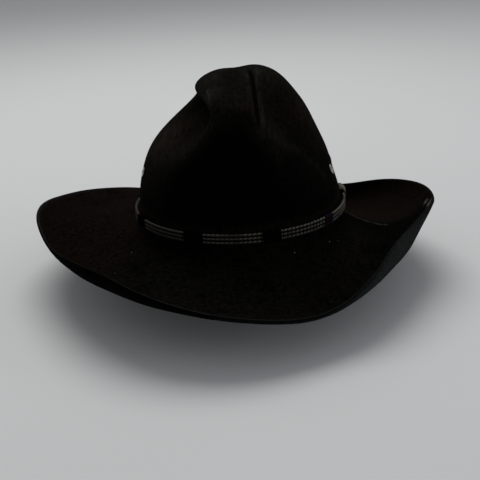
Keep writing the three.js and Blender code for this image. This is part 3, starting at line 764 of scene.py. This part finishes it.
def make_felt():
    outer = felt_rows(0.0, **OUTER_ROWS)
    normals = grid_normals(outer)
    lift = ripple(ANGLES, brim_fractions(len(outer), OUTER_ROWS["brim"])) + groove(outer)
    outer += normals * lift[..., None]
    sway = 0.25 * np.sin(outer[..., 2] / 7 + 3 * ANGLES)
    outer += normals * sway[..., None]
    inner = felt_rows(FELT, **INNER_ROWS)
    lift = ripple(ANGLES, brim_fractions(len(inner), INNER_ROWS["brim"]))
    inner += grid_normals(inner) * lift[..., None]

    edge_out = unit(outer[0] - outer[1])
    across = inner[0] - outer[0]
    lip = [outer[0] + across * share + edge_out * bulge for share, bulge in EDGE_ROUND]
    grid = np.concatenate([inner[::-1], lip, outer])
    tips = np.array([crown_point(0.0, TIP), crown_point(0.0, TIP) - [0, 0, FELT]])
    points = np.concatenate([grid.reshape(-1, 3), tips])
    faces = without_vents(points, grid_faces(len(grid), ROUND)).tolist()
    faces += tip_fans(len(grid), len(points))

    upper_start = len(inner) + len(lip)
    layers = {}
    for key, values in wear(outer, grid_normals(outer)).items():
        layers[key] = np.zeros(len(points))
        layers[key][upper_start * ROUND : upper_start * ROUND + values.size] = values.ravel()
    rim = rim_wear_and_light(len(grid), len(inner), upper_start)
    layers["rim"] = np.concatenate([rim.ravel(), [0, 0]])
    place(add_mesh("felt", points, faces, FELT_MATERIAL, layers), "hat", "felt", "felt_body")


make_felt()

# ---- Hatband: three twisted cords under thread wraps and a slide knot ----

CORD = Sizes(turns=160, steps=1600, corners=8, plies=3, dark_ply=2, wobble=0.04)
SLEEVE_CORNERS = 56
ROWS_PER_TURN = 7


def make_strand(index, name):
    """Plies laid together, one of them dark, with the underside of the cord painted dark as shade."""
    corners = CORD.corners
    ply_radius = BAND.strand / 2 / (1 + 2 / math.sqrt(3))
    helix = BAND.strand / 2 - ply_radius
    t = np.arange(CORD.steps) / CORD.steps
    angle = TAU * t
    middle = beside(angle, STRAND_OUT, band_height(angle) + (index - 1) * BAND.pitch)[None]
    outward, upward = across_ring(middle)
    wobble = 1 + CORD.wobble * np.sin(TAU * 13 * t + index)
    ply = np.arange(CORD.plies)[:, None, None]
    phase = TAU * (CORD.turns * t[:, None] + ply / CORD.plies)
    centre = middle + helix * wobble[:, None] * (np.cos(phase) * outward + np.sin(phase) * upward)
    section = np.repeat(ply_radius * spokes(outward, upward, corners), CORD.plies, axis=0)
    points, faces = tubes(centre, section, closed=True)
    turn = TAU * np.arange(corners) / corners
    height = helix * np.sin(phase) + ply_radius * np.sin(turn)
    layers = spread(section.shape[:3], {
        "along": t[:, None] * BAND.girth,
        "ply_x": np.cos(turn) + 5 * ply,
        "ply_y": np.sin(turn),
        # The dark ply, and the underside of each cord painted dark as shade.
        "dark": np.maximum(ply == CORD.dark_ply, smoothstep(-height, -0.45, 0.2)),
        # Painted shade on the lower cords, where less light falls from above, and darker towards the wearer's
        # right.
        "cord_darkening": 0.15 * (2 - index) + smoothstep(-np.sin(angle), -0.3, 0.7)[:, None],
    })
    piece = add_mesh(f"cord_{name}", points, faces, HORSEHAIR, layers)
    place(piece, "hatband", "horsehair", f"band_strand_{name}")


def bundle_outline(deep, tall):
    """Rounded box round the three cords: outward and upward distances of its corners."""
    turn = TAU * np.arange(SLEEVE_CORNERS) / SLEEVE_CORNERS
    power = 2 / 3
    out = deep * np.sign(np.cos(turn)) * np.abs(np.cos(turn)) ** power
    up = tall * np.sign(np.sin(turn)) * np.abs(np.sin(turn)) ** power
    return out, up


def wound_sleeve(name, middle, length, wound, scallop, material, lead=0.0):
    """Thread wound round the three cords, with some room round them. Its wall swells by lobe into two
    lobes, and by scallop over each cord. lead is the share of the turns, from the first, in dark red."""
    turns = round(length / wound.pitch)
    rows = turns * ROWS_PER_TURN
    t = np.linspace(0, 1, rows)
    angle = math.radians(middle) + (t - 0.5) * length / (HALF_LENGTH + STRAND_OUT)
    path = beside(angle, STRAND_OUT, band_height(angle))
    outward, upward = upright(unit(np.gradient(path, axis=0)))
    half_strand = BAND.strand / 2
    bore_out, bore_up = bundle_outline(half_strand + wound.room, BAND.pitch + half_strand + wound.room)
    swell = np.cos(TAU * bore_up / BAND.pitch) * (np.abs(bore_up) < 1.5 * BAND.pitch)
    across = unit(np.stack([bore_out / 2.2, bore_up / 9], axis=-1))
    corner = np.arange(SLEEVE_CORNERS)
    winding = np.cos(TAU * (turns * t[:, None] - corner / SLEEVE_CORNERS))
    wall = (wound.wall + wound.lobe * np.abs(np.sin(TAU * t)) ** 0.6)[:, None]
    wall = np.maximum(wall + 0.20 * wound.pitch * winding + scallop * swell, 0.05)
    flatter_behind = np.where(bore_out < 0, 0.6, 1.0)
    out = np.vstack([bore_out, bore_out + across[:, 0] * wall * flatter_behind, bore_out])
    up = np.vstack([bore_up, bore_up + across[:, 1] * wall, bore_up])
    row = np.concatenate([[0], np.arange(rows), [rows - 1]])
    aside = out[..., None] * outward[row][:, None]
    points = path[row][:, None] + aside + up[..., None] * upward[row][:, None]
    layers = spread(out.shape, {
        "along": (t[row] * length * 1.2)[:, None],
        "turn": corner * 0.9,
        "lead": smoothstep(lead - t[row], -0.03, 0.03)[:, None] * (lead > 0),
    })
    faces = grid_faces(rows + 2, SLEEVE_CORNERS)
    return add_mesh(name, points.reshape(-1, 3), faces, material, layers)


def make_wrap(number, middle, length, plum):
    scallop, material, lead = (0.42, PLUM_THREAD, 0.35) if plum else (0.3, BLACK_THREAD, 0.0)
    piece = wound_sleeve(f"wrap_{number}", middle, length, WRAP, scallop, material, lead)
    place(piece, "hatband", "wrap_thread", f"band_wrap_{number}")


def make_knot():
    knot = wound_sleeve("slide_knot", KNOT.middle, KNOT.length, KNOT, 0.1, CREAM_THREAD)
    place(knot, "slide_knot", "cream_thread", "band_slide_knot")


def make_hatband():
    for index, name in enumerate(("lower", "middle", "upper")):
        make_strand(index, name)
    for index, (middle, length) in enumerate(zip(WRAP_MIDDLES, WRAP_LENGTHS)):
        make_wrap(index + 1, middle, length, index in PLUM_WRAPS)
    make_knot()


make_hatband()

# ---- Vent eyelets ----

EYELET_SEGMENTS = 56


def revolve(outline, middle, normal):
    """A closed outline of (radius, height) turned about a direction through a point."""
    side = unit(np.cross(normal, UP))
    other = np.cross(normal, side)
    turn = (TAU * np.arange(EYELET_SEGMENTS) / EYELET_SEGMENTS)[:, None, None]
    radius, height = np.array(outline).T[..., None]
    points = middle + radius * (np.cos(turn) * side + np.sin(turn) * other) + height * normal
    return points.reshape(-1, 3), grid_faces(EYELET_SEGMENTS, len(outline), wrap_rows=True)


def arc(radius, height, size, start, end, steps):
    """Points of a circular arc in (radius, height), angles in degrees."""
    angles = np.radians(np.linspace(start, end, steps))
    return [(radius + size * math.cos(a), height + size * math.sin(a)) for a in angles]


# Outlines as (radius, height over the felt's outer face): the flange with its rounded edge and mouth,
# the end of the barrel rolled over inside, and the washer under the roll.
FLANGE = [(2.8, 0.2), (4.2, 0.2), *arc(4.2, 0.42, 0.22, -90, 90, 6), *arc(2.7, 0.25, 0.62, 60, 180, 9)]
ROLL = [(2.08, -4.1), *arc(2.9, -4.15, 0.45, 190, 360, 7), (2.8, -3.6)]
WASHER = arc(4.3, -3.4, 0.28, -90, 90, 5) + arc(3.3, -3.4, 0.28, 90, 270, 5)


def make_eyelets():
    for name, (middle, normal) in EYELETS.items():
        eyelet = add_mesh(f"vent_{name}", *revolve(FLANGE + ROLL, middle, normal), NICKEL)
        place(eyelet, "hat", "nickel", f"eyelet_{name}")
        washer = add_mesh(f"vent_washer_{name}", *revolve(WASHER, middle, normal), NICKEL)
        place(washer, "hat", "nickel", f"eyelet_washer_{name}")


make_eyelets()

# ---- Inside: sweatband, reed, tape, bow and lining ----

SWEATBAND = Sizes(low=2.8, high=36.0, inset=3.85, leather=1.1)
SKIN = SWEATBAND.inset + SWEATBAND.leather
REED = Sizes(radius=0.9, height=1.0, corners=12)
TAPE = [(SKIN, -0.7), (2.75, -0.7), (2.75, 11), (3.1, 11), (3.1, -0.35), (SKIN, -0.35)]  # (inset, height)
STITCH = Sizes(count=190, height=4.6, span=2.2 / 96, radius=0.24, bow=0.32, sunk=0.15, steps=7, corners=6)
BOW = Sizes(height=13.0, ribbon=4.6, thickness=0.35, loop=11.0, tail=9.5, off_leather=0.45, steps=28)
BOW_KNOT = Sizes(half_height=3.2, half_width=1.7, half_depth=0.8, middle=0.85, corners=14, rows=7)
LINING = Sizes(tuck_low=18.0, tuck_high=37.0, tuck_inset=3.0, low=42.0, high=114.2, inset=6.6, cloth=0.4)
TIP_RISE = Sizes(seam=0.95, shield=1.2, top=1.545)
SHIELD = Sizes(gap=0.75, film=0.3)
INSIDE_RADIUS = 97.0  # turns an angle round the hat into a length along the sweatband


def wall_strip(name, heights, inset, thickness, material, relief):
    """A strip standing against the inside of the crown, with its two faces and rounded edges."""
    angle = ANGLES[None, :]
    rise = rise_at(heights)[:, None]
    bumps = relief(angle, heights[:, None])
    front = crown_inside(angle, rise, inset + thickness + bumps)
    back = crown_inside(angle, rise, inset + bumps)
    grid = np.concatenate([back, front[::-1]])
    low = smoothstep(heights, heights.max(), heights.min())
    layers = spread(grid.shape[:2], {
        "low": np.concatenate([low, low[::-1]])[:, None],
        "along": ANGLES * INSIDE_RADIUS,
    })
    faces = grid_faces(len(grid), ROUND, wrap_rows=True)
    return add_mesh(name, grid.reshape(-1, 3), faces, material, layers)


def make_reed():
    """A round rod right round the head, along the lower edge of the leather."""
    middle = SWEATBAND.inset + SWEATBAND.leather / 2
    path = beside(ANGLES, -middle, np.full(ROUND, REED.height))[None]
    section = REED.radius * spokes(*across_ring(path), REED.corners)
    points, faces = tubes(path, section, closed=True)
    layers = {"along": np.repeat(ANGLES * INSIDE_RADIUS, REED.corners)}
    reed = add_mesh("reed", points, faces, BLACK_RIBBON, layers)
    place(reed, "hat", "reed_plastic", "sweatband_reed")


def make_tape():
    """Ribbon folded under the reed and up behind the leather."""
    inset, height = np.array(TAPE).T
    points = beside(ANGLES[:, None], -inset, height).reshape(-1, 3)
    layers = {"along": np.repeat(ANGLES * INSIDE_RADIUS, len(TAPE))}
    faces = grid_faces(ROUND, len(TAPE), wrap_rows=True)
    tape = add_mesh("felt_tape", points, faces, BLACK_RIBBON, layers, smooth=False)
    place(tape, "hat", "ribbon", "reed_tape")


def make_sweatband():
    def handled(angle, height):
        wave = 0.16 * np.sin(7 * angle + 1) + 0.10 * np.sin(16 * angle + height / 5)
        hollow = 0.06 * np.sin(40 * angle) * smoothstep(height, 12, 4)
        return wave * smoothstep(height, 4, 20) + hollow

    heights = np.linspace(SWEATBAND.low, SWEATBAND.high, 26)
    band = wall_strip("sweatband_leather", heights, SWEATBAND.inset, SWEATBAND.leather, LEATHER, handled)
    place(band, "hat", "leather", "sweatband")


def make_stitches():
    """Short sewn stitches in a row round the sweatband, each a small bowed capsule."""
    start = (TAU * np.arange(STITCH.count) / STITCH.count)[:, None]
    t = np.linspace(-0.5, 0.5, STITCH.steps)[None, :]
    angle = start + t * STITCH.span
    lifted = STITCH.bow * (1 - (2 * t) ** 2) - STITCH.sunk
    path = crown_inside(angle, rise_at(STITCH.height + 0.5 * t), SKIN + lifted)
    outward, upward = upright(unit(np.gradient(path, axis=1)))
    size = STITCH.radius * np.sqrt(np.maximum(1 - (1.9 * t) ** 2, 0.08))
    points, faces = tubes(path, size[..., None, None] * spokes(outward, upward, STITCH.corners))
    turn = np.tile(np.arange(STITCH.corners) * 0.5, STITCH.count * STITCH.steps)
    stitches = add_mesh("sweatband_stitches", points, faces, SEWING, {"turn": turn})
    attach(stitches, "hat")


def bow_strips():
    """Place across, up and out, and width, along each loop and tail laid flat on the leather."""
    t = np.linspace(0, 1, BOW.steps)
    swell = np.sin(math.pi * t)
    loop_up = 2.6 * np.sin(TAU * t) * swell
    tail_up = -4.0 * t**1.2
    loop_width = BOW.ribbon * (0.55 + 0.45 * swell)
    tail_width = BOW.ribbon * (0.5 + 0.4 * t)
    for sign in (1, -1):
        yield sign * BOW.loop * swell**0.8, loop_up, 0.25 + swell * t, loop_width
        yield sign * BOW.tail * t, tail_up, 0.1 + 0.25 * swell, tail_width


def bow_knot():
    """Rings of a short upright barrel over the middle of the bow."""
    turn = TAU * np.arange(BOW_KNOT.corners) / BOW_KNOT.corners
    share = np.linspace(-1, 1, BOW_KNOT.rows)[:, None]
    swell = 1 - 0.25 * share**2
    across = BOW_KNOT.half_width * swell * np.cos(turn)
    out = BOW_KNOT.middle + BOW_KNOT.half_depth * swell * np.sin(turn)
    return np.stack(np.broadcast_arrays(across, BOW_KNOT.half_height * share, out), axis=-1)


def make_bow():
    """Flat ribbon bow on the leather at the back: two loops, two tails and a tight knot."""
    edges, faces = [], []
    for across, up, out, width in bow_strips():
        faces += (grid_faces(4, BOW.steps, wrap_rows=True) + len(edges) * BOW.steps).tolist()
        for side, face in ((-0.5, 0), (-0.5, 1), (0.5, 1), (0.5, 0)):
            edges.append(np.stack([across, up + side * width, out + face * BOW.thickness], axis=-1))
    knot = bow_knot()
    faces += (grid_faces(*knot.shape[:2]) + len(edges) * BOW.steps).tolist()
    flat = np.concatenate(edges + [knot.reshape(-1, 3)])
    angle = math.pi - flat[:, 0] / HALF_WIDTH
    rise = rise_at(BOW.height + flat[:, 1])
    placed = crown_inside(angle, rise, SKIN + BOW.off_leather + flat[:, 2])
    piece = add_mesh("back_bow", placed, faces, BLACK_RIBBON, {"along": flat[:, 0] * 1.2 + flat[:, 1]})
    place(piece, "hat", "ribbon", "sweatband_bow")


def cap_sheet(name, first_rise, rows, inset, thickness, material, relief):
    """A skin hung inside the top of the crown, from its first ring up to the tip, with both its faces."""
    angle = ANGLES[None, :]
    rise = np.linspace(first_rise, TIP_RISE.top, rows)[:, None]
    bumps = relief(angle, rise) * smoothstep(TIP - rise, 0, 0.25)
    upper, lower = (crown_inside(angle, rise, inset + bumps + extra) for extra in (0, thickness))
    grid = np.concatenate([lower[::-1], upper])
    tips = [crown_point(0.0, TIP) - [0, 0, inset + extra] for extra in (0, thickness)]
    points = np.concatenate([grid.reshape(-1, 3), tips])
    faces = grid_faces(len(grid), ROUND).tolist() + tip_fans(len(grid), len(points))
    return add_mesh(name, points, faces, material, {"low": np.zeros(len(points))})


def lining_folds(angle):
    """Uneven small folds where the lining's cloth is gathered into its seam."""
    return np.sin(64 * angle + 1.5 * np.sin(5 * angle)) + 0.5 * np.sin(101 * angle + 2)


def make_lining_wall():
    def gathers(angle, height):
        depth = 0.34 * smoothstep(height, 55, 92) + 0.12 * smoothstep(height, 70, 45)
        return np.where(height < LINING.low, 0, depth * lining_folds(angle))

    tucked = np.linspace(LINING.tuck_low, LINING.tuck_high, 8)
    free = np.linspace(LINING.low, LINING.high, 44)
    heights = np.concatenate([tucked, free])
    inset = np.where(heights < LINING.low, LINING.tuck_inset, LINING.inset)[:, None]
    side = wall_strip("lining_wall", heights, inset, LINING.cloth, SATIN, gathers)
    place(side, "hat", "satin", "lining_side")


def make_lining_crown():
    def puckers(angle, rise):
        return 0.45 * lining_folds(angle) * smoothstep(rise, 1.2, 0.95)

    tip = cap_sheet("lining_crown", TIP_RISE.seam, 26, LINING.inset, LINING.cloth, SATIN, puckers)
    place(tip, "hat", "satin", "lining_tip")


def make_film():
    def waves(angle, _):
        return 0.15 * np.sin(9 * angle)

    inset = LINING.inset + LINING.cloth + SHIELD.gap
    film = cap_sheet("lining_film", TIP_RISE.shield, 16, inset, SHIELD.film, FILM, waves)
    place(film, "hat", "clear_film", "lining_shield")


make_sweatband()
make_reed()
make_tape()
make_stitches()
make_bow()
make_lining_wall()
make_lining_crown()
make_film()

# ---- Stage, lights and camera ----

FLOOR_GAP = 0.5  # clears the waviness of the brim's lowest point
FLOOR_REACH = 6000.0
LAMP_AIM = Vector((0, 0, 0.05))
VIEW = Sizes(azimuth=6.97, elevation=21.22, roll=-2.85, distance=0.77114, field=32.45)
VIEW_AIM = Vector((-0.0022, 0.0, -0.0215))
SENSOR = 36.0


def make_stage():
    """A plain pale floor under the brim."""
    floor_height = cad_low.z / MM - FLOOR_GAP
    square = ((-1, -1), (1, -1), (1, 1), (-1, 1))
    corners = [(x * FLOOR_REACH, y * FLOOR_REACH, floor_height) for x, y in square]
    s = Shading("floor", Roughness=0.65, Specular_IOR_Level=0.2)
    tone = s.mix(s.noise(1.2, 2), rgb(0.60, 0.61, 0.62), rgb(0.64, 0.65, 0.66))
    s.drive("Base Color", tone)
    add_mesh("floor", corners, [[0, 1, 2, 3]], s.material, smooth=False)


def make_light(name, place_at, size, power, colour):
    lamp = bpy.data.lights.new(name, "AREA")
    lamp.shape = "DISK"
    lamp.size = size
    lamp.energy = power
    lamp.color = colour
    light = add_object(name, lamp)
    light.location = place_at
    light.rotation_euler = (LAMP_AIM - Vector(place_at)).to_track_quat("-Z", "Y").to_euler()


def make_world():
    world = bpy.data.worlds.new("studio")
    world.use_nodes = True
    background = world.node_tree.nodes["Background"]
    background.inputs["Color"].default_value = rgb(0.97, 0.99, 1.0)
    background.inputs["Strength"].default_value = 0.36
    bpy.context.scene.world = world


def make_camera():
    """The camera stands a little to the wearer's left of the front, above the brim."""
    azimuth, elevation, roll = (math.radians(a) for a in (VIEW.azimuth, VIEW.elevation, VIEW.roll))
    level = math.cos(elevation)
    back = Vector((math.sin(azimuth) * level, -math.cos(azimuth) * level, math.sin(elevation)))
    right = Vector((math.cos(azimuth), math.sin(azimuth), 0))
    up = back.cross(right)
    turned_right = right * math.cos(roll) + up * math.sin(roll)
    turned_up = up * math.cos(roll) - right * math.sin(roll)
    lens = bpy.data.cameras.new("camera")
    lens.sensor_width = SENSOR
    lens.lens = SENSOR / 2 / math.tan(math.radians(VIEW.field) / 2)
    lens.clip_start = 0.01
    camera = add_object("camera", lens)
    axes = Matrix((turned_right, turned_up, back)).transposed().to_4x4()
    camera.matrix_world = Matrix.Translation(VIEW_AIM + back * VIEW.distance) @ axes
    bpy.context.scene.camera = camera


bpy.context.scene.view_settings.view_transform = "Standard"
make_stage()
make_world()
make_light("overhead", (-0.3, 0.8, 1.8), 1.6, 24, (1.0, 0.98, 0.95))
make_light("window", (1.7, -0.3, 0.3), 0.9, 6, (0.84, 0.92, 1.0))
make_camera()
